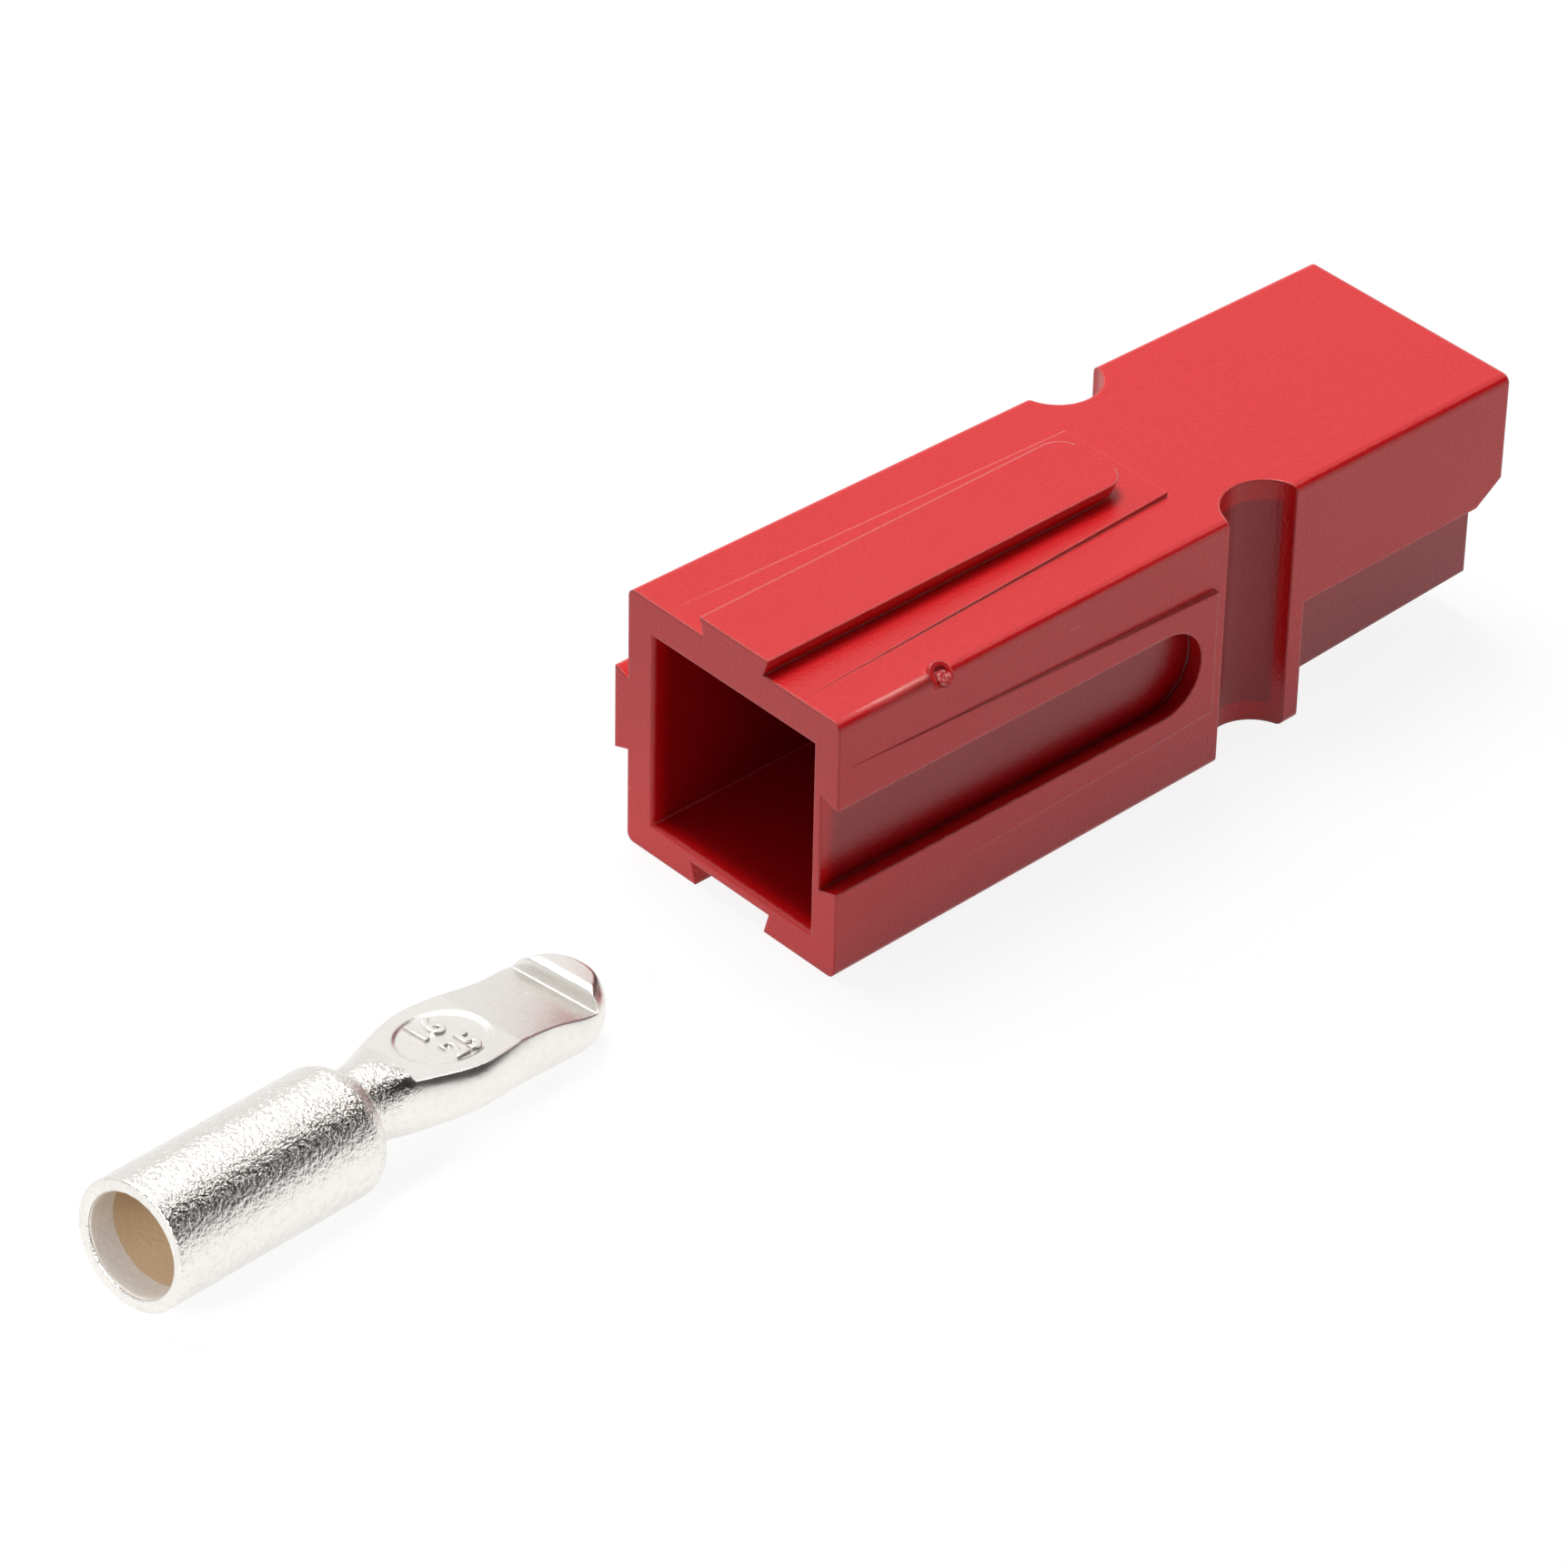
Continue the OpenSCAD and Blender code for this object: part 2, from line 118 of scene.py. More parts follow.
class ContactSettings(bpy.types.PropertyGroup):
    plating: colour("Plating", "Colour of the silver plating", (0.89, 0.86, 0.82))
    bare: colour("Bare bore", "Colour of the thin plating deep in the bore", (0.66, 0.50, 0.32))
    length: length("Length", "Overall length of the contact", 32.2)
    barrel_radius: length("Barrel radius", "Outer radius of the crimp barrel", 3.5)
    barrel_length: length("Barrel length", "Length of the crimp barrel with its shoulder", 14.8)
    shoulder_radius: length("Shoulder radius", "Rounding of the barrel's shoulder", 1.4)
    bore_radius: length("Bore radius", "Radius of the wire bore", 2.75)
    bore_depth: length("Bore depth", "Depth of the bore's straight wall", 12.6)
    plated_depth: length("Plated depth", "Depth to which the bore is bright", 1.6)
    neck_radius: length("Neck radius", "Radius of the neck", 2.1)
    neck_fillet: length("Neck fillet", "Fillet between the shoulder and the neck", 0.3)
    oval_depth: length("Oval depth", "Depth of the oval recess", 0.13)


class SpringSettings(bpy.types.PropertyGroup):
    steel: colour("Steel", "Colour of the stainless strip", (0.60, 0.60, 0.61))


class StudioSettings(bpy.types.PropertyGroup):
    surface: colour("Surface", "Colour of the studio's floor", (0.62, 0.62, 0.62))
    screen: colour("Screen", "Colour of the dark cloth on the camera's side", (0.05, 0.048, 0.045))
    screen_span: FloatProperty(
        name="Screen span", description="Half angle that the cloth covers", default=math.radians(79.0), subtype="ANGLE"
    )
    sky: FloatProperty(name="Sky", description="Strength of the light from all round", default=0.85, min=0.0)
    key: power("Key light", "Power of the softbox overhead", 3.02)
    edge_light: power("Edge light", "Power of the narrow strip lamp", 0.36)
    bore_light: power("Bore light", "Power of the lamp at the contact's mouth", 0.0025)
    lens: FloatProperty(name="Lens", description="Focal length in millimetres", default=176.0, min=1.0)


# ---------------------------------------------------------------- shader maths


class Wire:
    """A shader socket that can be written in a sum or a product.

    +, -, *, / and ** add Math nodes; the value of a plain number is used as is."""

    def __init__(self, graph, socket):
        self.graph = graph
        self.socket = socket

    def math(self, operation, *values):
        return self.graph.add("ShaderNodeMath", {"operation": operation}, *values)

    def __add__(self, other):
        return self.math("ADD", self, other)

    def __sub__(self, other):
        return self.math("SUBTRACT", self, other)

    def __rsub__(self, other):
        return self.math("SUBTRACT", other, self)

    def __mul__(self, other):
        return self.math("MULTIPLY", self, other)

    def __truediv__(self, other):
        return self.math("DIVIDE", self, other)

    def __pow__(self, other):
        return self.math("POWER", self, other)

    def at_least(self, other):
        return self.math("MAXIMUM", self, other)

    def size(self):
        """The value without its sign."""
        return self.math("ABSOLUTE", self)

    def step(self, low, high):
        """0 below low, 1 above high, and smooth between."""
        return self.graph.add("ShaderNodeMapRange", {"interpolation_type": "SMOOTHSTEP"}, self, low, high, 0.0, 1.0)

    __radd__ = __add__
    __rmul__ = __mul__


class Graph:
    """Node tree of one material or world, emptied, with the one method that adds nodes."""

    def __init__(self, owner):
        owner.use_nodes = True
        self.tree = owner.node_tree
        self.tree.nodes.clear()

    def add(self, kind, settings=None, *values, out=0, **named):
        """Adds a node, applies its settings, then feeds its sockets by place or by name."""
        node = self.tree.nodes.new(kind)
        for key, value in (settings or {}).items():
            setattr(node, key, value)
        sockets = [(node.inputs[i], v) for i, v in enumerate(values)]
        sockets += [(node.inputs[k.replace("_", " ")], v) for k, v in named.items()]
        for socket, value in sockets:
            if isinstance(value, Wire):
                self.tree.links.new(value.socket, socket)
            elif value is not None:
                if socket.type == "RGBA" and len(value) == 3:
                    value = (*value, 1.0)
                socket.default_value = value
        return Wire(self, node.outputs[out]) if len(node.outputs) else None

    def mix(self, mask, a, b):
        """Colour a where mask is 0 and b where it is 1."""
        node = self.add("ShaderNodeMix", {"data_type": "RGBA"}, mask, out=2).socket.node
        for socket, value in ((node.inputs[6], a), (node.inputs[7], b)):
            if isinstance(value, Wire):
                self.tree.links.new(value.socket, socket)
            else:
                socket.default_value = (*value, 1.0)
        return Wire(self, node.outputs[2])

    def noise(self, place, scale, detail=2.0, rough=0.5):
        """Noise whose features are about 1 / scale metres wide."""
        return self.add(
            "ShaderNodeTexNoise", {"noise_dimensions": "3D"}, Vector=place, Scale=scale, Detail=detail, Roughness=rough
        )

    def dot(self, vector, direction):
        """Cosine between two directions of unit length."""
        return self.add("ShaderNodeVectorMath", {"operation": "DOT_PRODUCT"}, vector, direction, out=1)

    def bump(self, height, distance, strength=1.0, normal=None):
        return self.add("ShaderNodeBump", None, Strength=strength, Distance=distance, Height=height, Normal=normal)

    def parts(self, vector):
        """The x, y and z of a vector."""
        node = self.add("ShaderNodeSeparateXYZ", None, vector).socket.node
        return [Wire(self, node.outputs[i]) for i in range(3)]


def new_material(name):
    """Empty material, its graph and the Object coordinates."""
    material = bpy.data.materials.new(name)
    graph = Graph(material)
    place = graph.add("ShaderNodeTexCoord", None, out=3)
    return material, graph, place


def finish_material(graph, **sockets):
    """Principled shader fed by the named sockets."""
    shader = graph.add("ShaderNodeBsdfPrincipled", None, **sockets)
    graph.add("ShaderNodeOutputMaterial", None, shader)


def moulded_plastic(settings):
    """Satin red plastic with a fine grain, faint flow lines along X and a few scratches.

    A painted shade, a deeper red that stands in for the shade in the cavity, lies near the housing's axis, and a
    painted highlight makes edges that face up lighter."""
    material, graph, place = new_material("moulded_plastic")
    grain = graph.noise(place, 5200.0, 2.0, 0.6)
    cloud = graph.noise(place, 160.0, 3.0, 0.55)
    flow_place = graph.add(
        "ShaderNodeMapping", None, place, None, (0.0, 0.0, math.radians(6)), (60.0, 2600.0, 2600.0)
    )
    flow = graph.noise(flow_place, 1.0, 3.0, 0.6)
    scratch_place = graph.add(
        "ShaderNodeMapping", None, place, None, (0.3, 0.2, math.radians(24)), (90.0, 1900.0, 1900.0)
    )
    scratch = graph.noise(scratch_place, 1.0, 1.0, 0.4).step(0.735, 0.775)
    scratch = scratch * graph.noise(place, 260.0, 1.0).step(0.58, 0.70)
    base = graph.mix(cloud.step(0.3, 0.7) * 0.10, tuple(settings.plastic), (0.60, 0.002, 0.012))
    base = graph.mix(grain.step(0.35, 0.70) * 0.22, base, (0.90, 0.022, 0.022))
    base = graph.mix(scratch * 0.35, base, tuple(settings.scuff_and_highlight))
    back, side, up = graph.parts(place)
    half = settings.body_width / 2
    wall = half - PAINTED_SHADE_MARGIN
    # Painted shade: the inner walls of the wire entry are mixed towards the deep red, standing in for the shade inside
    # the cavity.
    across = 1.0 - (side - (HOUSING_LOW.y + half)).size().step(wall, wall + 0.3 * MM)
    over = 1.0 - (up - half).size().step(wall, wall + 0.3 * MM)
    behind = back.step(HOUSING_LOW.x + 0.2 * MM, HOUSING_LOW.x + 1.2 * MM)
    base = graph.mix(across * over * behind * 0.6, base, tuple(settings.deep))
    rounded = graph.add("ShaderNodeBevel", {"samples": 4}, settings.edge_radius)
    flat = graph.add("ShaderNodeNewGeometry", out=1)
    rim = 1.0 - graph.dot(rounded, flat).step(0.94, 0.998)
    # Painted highlight: edges that face up are lightened with the scuff colour, standing in for the thin light line
    # that they catch.
    upper = graph.parts(rounded)[2].step(0.48, 0.68)
    base = graph.mix(rim * upper * 0.55, base, tuple(settings.scuff_and_highlight))
    rough = settings.gloss + (flow - 0.5) * 0.05 + (cloud - 0.5) * 0.10 + scratch * 0.15 - rim * 0.16
    normal = graph.bump(grain * 1.0 + flow * 0.06 - scratch * 0.25, 0.000026, 0.8, rounded)
    finish_material(graph, Base_Color=base, Roughness=rough, Normal=normal, IOR=PLASTIC_IOR)
    return material


def torn_plastic(settings):
    """Rough torn plastic of the gate mark."""
    material, graph, place = new_material("torn_plastic")
    lumps = graph.noise(place, 5200.0, 4.0, 0.7)
    base = graph.mix(lumps.step(0.4, 0.65), tuple(settings.plastic), tuple(settings.scuff_and_highlight))
    finish_material(
        graph, Base_Color=base, Roughness=0.35 + lumps * 0.3, Normal=graph.bump(lumps, 0.00006, 0.8), IOR=PLASTIC_IOR
    )
    return material


def silver_plating(settings, mouth, heading):
    """Bright plating with a fine dimpled grain that is strongest on the barrel.

    Deep in the bore it turns thin, tan and dull."""
    material, graph, place = new_material("silver_plating")
    along = Vector(heading)
    turn = along.to_track_quat("X", "Z").inverted()
    local = graph.add(
        "ShaderNodeMapping", None, place, tuple(-(turn @ Vector(mouth))), tuple(turn.to_euler()), (1.0, 1.0, 1.0)
    )
    s, y, z = graph.parts(local)
    radius = (y * y + z * z) ** 0.5
    inside = (1.0 - radius.step(settings.bore_radius + 0.03 * MM, settings.bore_radius + 0.06 * MM)) * (
        1.0 - s.step(settings.barrel_length - 0.9 * MM, settings.barrel_length - 0.8 * MM)
    )
    edge = s + (graph.noise(place, 900.0, 2.0) - 0.5) * (0.12 * MM)
    dull = inside * edge.step(settings.plated_depth, settings.plated_depth + 0.10 * MM)
    ring = inside - dull
    on_barrel = 1.0 - s.step(settings.barrel_length + 1.0 * MM, settings.barrel_length + 3.5 * MM)
    on_barrel = on_barrel * (1.0 - inside * 0.8)
    grain = graph.noise(place, 3600.0, 3.0, 0.65)
    pits = graph.noise(place, 2300.0, 3.0, 0.6)
    swell = graph.noise(place, 520.0, 2.0)
    base = graph.mix(pits.step(0.42, 0.75) * 0.5, tuple(settings.plating), (0.80, 0.76, 0.71))
    base = graph.mix(dull, base, tuple(settings.bare))
    coined = s.step(settings.barrel_length + 2.0 * MM, settings.barrel_length + 3.0 * MM)
    rough = 0.17 + coined * 0.13 + (pits - 0.5) * 0.14 + dull * 0.35 + ring * 0.25
    height = grain * (0.30 + on_barrel * 2.2) + pits * (0.2 + on_barrel * 0.5) + swell * 0.15
    finish_material(
        graph, Base_Color=base, Metallic=1.0 - dull * 0.8 - ring * 0.6, Roughness=rough,
        Normal=graph.bump(height, 0.000038, 0.9),
    )
    return material


def satin_steel(settings):
    """Rolled stainless strip with fine lines along X."""
    material, graph, place = new_material("satin_steel")
    lines_place = graph.add("ShaderNodeMapping", None, place, None, None, (120.0, 5200.0, 900.0))
    lines = graph.noise(lines_place, 1.0, 3.0, 0.65)
    cloud = graph.noise(place, 500.0, 2.0)
    base = graph.mix(cloud.step(0.35, 0.7) * 0.5, tuple(settings.steel), (0.48, 0.48, 0.50))
    finish_material(
        graph, Base_Color=base, Metallic=1.0, Roughness=0.24 + lines * 0.18,
        Normal=graph.bump(lines, 0.00001, 0.5),
    )
    return material


# ------------------------------------------------------------------- surfaces


def curve(s, knots):
    """Smooth curve through knots (s, value): between two knots the value follows 3t² - 2t³."""
    places, values = np.array(knots, float).T
    i = np.clip(np.searchsorted(places, s, side="right") - 1, 0, len(places) - 2)
    t = np.clip((s - places[i]) / (places[i + 1] - places[i]), 0.0, 1.0)
    return values[i] + (values[i + 1] - values[i]) * t * t * (3.0 - 2.0 * t)


def lower_of(a, b, blend):
    """The lower of two heights, joined by a fillet about as wide as blend."""
    t = np.clip(0.5 + 0.5 * (b - a) / blend, 0.0, 1.0)
    return b + (a - b) * t - blend * t * (1.0 - t)


def softened(s, corners, width):
    """Broken line through corners, averaged over width, so that each corner is rounded."""
    x, v = np.array(corners, float).T
    grid = np.linspace(x[0], x[-1], 6000)
    line = np.interp(grid, x, v)
    total = np.concatenate([[0.0], np.cumsum(0.5 * (line[1:] + line[:-1]) * np.diff(grid))])

    def integral(q):
        outside = np.minimum(q - x[0], 0) * v[0] + np.maximum(q - x[-1], 0) * v[-1]
        return np.interp(q, grid, total) + outside

    return (integral(s + width / 2) - integral(s - width / 2)) / width


def dense_steps(start, end, step, corners, fine, reach):
    """Places from start to end, a step apart, and only fine apart within reach of a corner."""
    s = np.linspace(start, end, 4000)
    near = np.min(np.abs(s[:, None] - np.array(corners)[None, :]), axis=1)
    rate = 1.0 / step + (1.0 / fine - 1.0 / step) * np.exp(-((near / reach) ** 2))
    count = np.concatenate([[0.0], np.cumsum(0.5 * (rate[1:] + rate[:-1]) * np.diff(s))])
    return np.interp(np.linspace(0.0, count[-1], int(count[-1]) + 2), count, s)


def add_grid(name, points, material, closed=True, auto=None):
    """Mesh of quads over an array (rows, columns, 3), closed round its columns.

    Rows that shrink to one point are merged there."""
    rows, columns = points.shape[:2]
    last = columns if closed else columns - 1
    r, c = np.meshgrid(np.arange(rows - 1), np.arange(last), indexing="ij")
    n = (c + 1) % columns
    row, above = r * columns, (r + 1) * columns
    quads = np.stack([row + c, row + n, above + n, above + c], -1).reshape(-1, 4)
    mesh = bpy.data.meshes.new(name)
    mesh.vertices.add(rows * columns)
    mesh.vertices.foreach_set("co", points.astype(np.float32).ravel())
    mesh.loops.add(quads.size)
    mesh.loops.foreach_set("vertex_index", quads.ravel().astype(np.int32))
    mesh.polygons.add(len(quads))
    mesh.polygons.foreach_set("loop_start", np.arange(0, quads.size, 4, dtype=np.int32))
    mesh.update(calc_edges=True)
    return add_piece(name, mesh, material, auto)


def add_piece(name, mesh, material, auto=None):
    """Object at the origin from a mesh whose doubles are merged and whose faces point outwards."""
    work = bmesh.new()
    work.from_mesh(mesh)
    bmesh.ops.remove_doubles(work, verts=work.verts, dist=2e-7)
    bmesh.ops.recalc_face_normals(work, faces=work.faces)
    work.to_mesh(mesh)
    work.free()
    mesh.shade_smooth()
    if auto is not None:
        mesh.set_sharp_from_angle(angle=math.radians(auto))
    mesh.materials.clear()
    mesh.materials.append(material)
    piece = bpy.data.objects.new(name, mesh)
    bpy.context.scene.collection.objects.link(piece)
    return piece


def contact_frame():
    """Turn and place of the contact: its bore's mouth, and the way towards its tip."""
    mount = MOUNTS["wire_barrel"]
    heading = -Vector(mount["axis"])
    mouth = Vector(mount["pos_m"]) - heading * MOUTH_FROM_MOUNT
    yaw = math.atan2(heading.y, heading.x)
    tilt = math.asin(-heading.z)
    turn = Euler((0.0, tilt, yaw), "XYZ").to_matrix()
    return mouth, heading, turn


def placed(points, turn, origin):
    """Points turned by a 3 by 3 matrix and moved to an origin."""
    return points @ np.array(turn).T + np.array(origin)


class ContactShape:
    """Surface of the contact, in millimetres: s from the mouth to the tip, y to the left, z up."""

    def __init__(self, settings):
        mm = lambda v: v / MM
        self.length = mm(settings.length)
        self.barrel_r = mm(settings.barrel_radius)
        self.barrel_len = mm(settings.barrel_length)
        self.shoulder_r = mm(settings.shoulder_radius)
        self.bore_r = mm(settings.bore_radius)
        self.bore_depth = mm(settings.bore_depth)
        self.neck_r = mm(settings.neck_radius)
        self.fillet = mm(settings.neck_fillet)
        self.oval_depth = mm(settings.oval_depth)
        b = self.barrel_len
        self.neck_lift, self.tip_lift = 0.6, 0.1
        self.pad = (3.40, 1.98)
        self.waist_a, self.tip_a, self.tip_b = 2.87, 3.08, 2.06
        self.neck_s, self.flare_s, self.step_s = b - 0.5, b + 0.9, b + 2.7
        self.pad_s, self.wipe_s, self.waist_s = b + 6.8, b + 9.5, b + 12.3
        self.tip_s = self.length - self.tip_a
        self.foot_s = self.length - 2.3
        self.crest_s = self.foot_s + 0.2
        self.oval = (self.pad_s - 0.1, 2.92, 2.2)
        self.heights = [
            (self.step_s - 0.06, 3.2), (self.step_s, 2.15), (self.wipe_s, 1.8), (self.foot_s, 0.87),
            (self.crest_s, 1.64), (self.crest_s + 0.4, 1.76), (self.length + 1.0, 1.76),
        ]
        self.top_columns, self.side_columns = 112, 96

    def tip_round(self, s, power):
        """Share of the full width that the round tip leaves at s."""
        return np.sqrt(np.maximum(0.0, 1.0 - np.maximum(0.0, (s - self.tip_s) / self.tip_a) ** power))

    def cut(self, s):
        """Height of the coined faces: a broken line with rounded corners."""
        return softened(s, self.heights, 0.10)

    def section(self, s):
        """Half width, centre height, half height above and below, and fullness of the blade."""
        wide = curve(s, [(self.neck_s, self.neck_r), (self.flare_s, self.neck_r), (self.pad_s, self.pad[0]),
                         (self.waist_s, self.waist_a), (self.tip_s, self.tip_a)]) * self.tip_round(s, 2)
        middle = curve(s, [(self.neck_s, self.neck_lift), (self.pad_s, self.neck_lift), (self.tip_s, self.tip_lift)])
        high = curve(s, [(self.neck_s, self.neck_r), (self.flare_s, self.neck_r), (self.pad_s, self.pad[1]),
                         (self.waist_s, self.tip_b + 0.3), (self.tip_s, self.tip_b)])
        fill = curve(s, [(self.flare_s, 2.0), (self.step_s + 0.6, 2.7), (self.pad_s, 2.7), (self.waist_s, 2.4)])
        return wide, middle, high * self.tip_round(s, 6), high * self.tip_round(s, 2), fill

    def blade(self, s):
        """Blade point for each s (rows, columns).

        The section is |y/a|^n + |z/b|^n = 1, and its top is the lower of that
        curve and the coined height. The first columns cross the top evenly from
        one edge of the flat to the other, and the rest go round underneath."""
        wide, middle, above, below, fill = self.section(s)
        cut = self.cut(s)
        reach = np.where(s < self.step_s, 2.15, cut)
        share = np.clip((reach - middle) / np.maximum(above, 1e-6), 0.0, 1.0)
        edge = np.arcsin(np.minimum(share ** (fill / 2), math.sin(math.radians(62))))
        u = np.linspace(1.0, -1.0, self.top_columns + 1)
        v = np.arange(1, self.side_columns) / self.side_columns
        v = v - 0.8 * np.sin(2 * math.pi * v) / (2 * math.pi)
        cross = np.concatenate([u, np.zeros(len(v))])[None, :]
        lap = np.concatenate([np.zeros(len(u)), v])[None, :]
        top = np.concatenate([np.ones(len(u)), np.zeros(len(v))])[None, :] > 0
        angle = math.pi - edge + lap * (math.pi + 2 * edge)
        swell = lambda q: np.sign(q) * np.abs(q) ** (2 / fill)
        y = np.where(top, cross * wide * np.cos(edge) ** (2 / fill), wide * swell(np.cos(angle)))
        across = np.clip(np.abs(y) / np.maximum(wide, 1e-6), 0.0, 1.0)
        z_top = middle + above * (1.0 - across ** fill) ** (1 / fill)
        z_side = middle + np.where(np.sin(angle) > 0, above, below) * swell(np.sin(angle))
        z = np.where(top, z_top, z_side)
        z = np.where(z > middle, lower_of(z, cut, 0.09), z)
        z = z - np.where(top, self.recess(s, y), 0.0)
        return np.stack([s + 0 * y, y, z], -1)

    def recess(self, s, y):
        """Depth of the oval: full inside, fading over its sloping wall."""
        place, a, b = self.oval
        q = np.sqrt(((s - place) / a) ** 2 + (y / b) ** 2)
        t = np.clip((1.0 - q) / 0.13, 0.0, 1.0)
        return self.oval_depth * t * t * (3.0 - 2.0 * t)

    def shoulder(self, path, end_radius):
        """Point at a distance path along the shoulder: a quarter circle, then its flat end."""
        flat_r = self.barrel_r - self.shoulder_r
        arc = np.clip(path / self.shoulder_r, 0.0, math.pi / 2)
        beyond = np.maximum(0.0, path - self.shoulder_r * math.pi / 2)
        s = self.barrel_len - self.shoulder_r + self.shoulder_r * np.sin(arc)
        return s, flat_r + self.shoulder_r * np.cos(arc) - beyond

    def surface(self):
        """Whole contact as one grid (rows, columns, 3): bore, mouth, barrel, shoulder, neck and blade."""
        columns = self.top_columns + self.side_columns
        neck = self.blade(np.full((1, columns), self.barrel_len + 0.3))[0]
        phi = np.arctan2(neck[:, 2], neck[:, 1])
        neck_rho = np.hypot(neck[:, 2], neck[:, 1])
        around = lambda s, rho: np.stack([s, rho * np.cos(phi), rho * np.sin(phi)], -1)

        # bore and mouth: a turned profile
        deep = self.bore_depth + self.bore_r * math.tan(math.radians(30))
        inner, outer = 0.22, 0.16
        straight_end = self.barrel_len - self.shoulder_r - 0.05
        t = np.linspace(0.0, math.pi / 2, 7)
        profile = np.concatenate([
            np.stack([np.linspace(deep, self.bore_depth, 8), np.linspace(0.0, self.bore_r, 8)], -1),
            np.stack([np.linspace(self.bore_depth - 0.05, inner, 24), np.full(24, self.bore_r)], -1),
            np.stack([inner - inner * np.sin(t[1:]), self.bore_r + inner - inner * np.cos(t[1:])], -1),
            np.stack([outer - outer * np.cos(t), self.barrel_r - outer + outer * np.sin(t)], -1),
            np.stack([np.linspace(outer + 0.05, straight_end, 24), np.full(24, self.barrel_r)], -1),
        ])
        turned = around(profile[:, :1] + 0 * phi, profile[:, 1:] + 0 * phi)

        # shoulder up to the neck, a fillet, and the straight of the neck
        flat_r = self.barrel_r - self.shoulder_r
        on_arc = np.arcsin(np.clip((neck_rho - flat_r) / self.shoulder_r, 0.0, 1.0))
        total = self.shoulder_r * (math.pi / 2 - on_arc) + np.maximum(0.0, flat_r - neck_rho)
        corner_s, _ = self.shoulder(total, neck_rho)
        t = np.linspace(0.0, 1.0, 30)[:, None]
        rounded = around(*self.shoulder(t * (total - self.fillet)[None, :], neck_rho))
        start = np.stack(self.shoulder(total - self.fillet, neck_rho), -1)
        corner = np.stack([corner_s, neck_rho], -1)
        end = np.stack([corner_s + self.fillet, neck_rho], -1)
        t = np.linspace(0.0, 1.0, 9)[1:, None, None]
        bend = (1 - t) ** 2 * start + 2 * t * (1 - t) * corner + t ** 2 * end
        fillet = around(bend[..., 0], bend[..., 1])
        first = self.barrel_len + 0.9
        t = np.linspace(0.0, 1.0, 8)[1:, None]
        straight = self.blade((1 - t) * (corner_s + self.fillet)[None, :] + t * first)

        # blade
        corners = [self.step_s - 0.03, self.wipe_s, self.foot_s, self.crest_s, self.crest_s + 0.4]
        s = dense_steps(first + 0.07, self.tip_s + 1.0, 0.085, corners, 0.016, 0.10)
        start = (s[-1] - self.tip_s) / self.tip_a
        round_end = self.tip_s + self.tip_a * np.sin(np.linspace(math.asin(start), math.pi / 2, 34)[1:])
        blade = self.blade(np.concatenate([s, round_end])[:, None] + np.zeros((1, columns)))
        return np.concatenate([turned, rounded, fillet, straight, blade])

    def pad_height(self, s):
        """Height of the oval recess's floor."""
        return self.cut(s) - self.oval_depth


# ------------------------------------------------------------------- operators


class CONNECTOR_OT_housing(bpy.types.Operator):
    """Moulded housing with its torn gate mark"""

    bl_idname = "connector.housing"
    bl_label = "Housing"

    def execute(self, context):
        settings = context.scene.housing_settings
        material = moulded_plastic(settings)
        node = frame["nodes"]["housing"]
        work = bmesh.new()
        work.from_mesh(node.data)
        bmesh.ops.remove_doubles(work, verts=work.verts, dist=2e-6)
        bmesh.ops.dissolve_limit(work, angle_limit=math.radians(0.4), verts=work.verts, edges=work.edges)
        mesh = bpy.data.meshes.new("moulded_housing")
        work.to_mesh(mesh)
        work.free()
        mesh.shade_smooth()
        mesh.set_sharp_from_angle(angle=math.radians(24))
        mesh.materials.clear()
        mesh.materials.append(material)
        piece = bpy.data.objects.new("moulded_housing", mesh)
        context.scene.collection.objects.link(piece)
        even = piece.modifiers.new("flat_faces_stay_flat", "WEIGHTED_NORMAL")
        even.mode, even.weight, even.keep_sharp = "FACE_AREA", 100, True
        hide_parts("housing")
        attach(piece, "root")
        self.gate(settings)
        return {"FINISHED"}

    def gate(self, settings):
        """Torn spot: a disc z(r, t) = dome + waves in t that die out towards the middle."""
        rings, turns = 14, 48
        r = np.linspace(0.0, 1.0, rings)[:, None]
        t = np.linspace(0.0, 2 * math.pi, turns, endpoint=False)[None, :]
        ragged = 1.0 + 0.05 * np.sin(5 * t + 1) + 0.03 * np.sin(9 * t)
        height = 0.12 * (1 - r ** 2) + r * (0.05 * np.sin(3 * t + 4 * r) + 0.04 * np.sin(7 * t - 3 * r))
        disc = np.stack([r * ragged * np.cos(t), r * ragged * np.sin(t), height + 0 * t], -1) * settings.gate_radius
        skirt = disc[-1:].copy()
        skirt[..., 2] = -0.3 * settings.gate_radius
        centre = skirt * [0, 0, 1]
        points = np.concatenate([disc, skirt, centre])
        top = HOUSING_HIGH.z - 1.0 * MM
        turn = Matrix.Rotation(math.radians(45), 3, "X")
        normal = turn @ Vector((0, 0, 1))
        ring = Vector((HOUSING_LOW.x + settings.gate_distance, HOUSING_LOW.y + 0.52 * MM, top - 0.51 * MM))
        origin = ring + normal * 0.42 * MM
        piece = add_grid("gate_vestige", placed(points, turn, origin), torn_plastic(settings))
        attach(piece, "root")


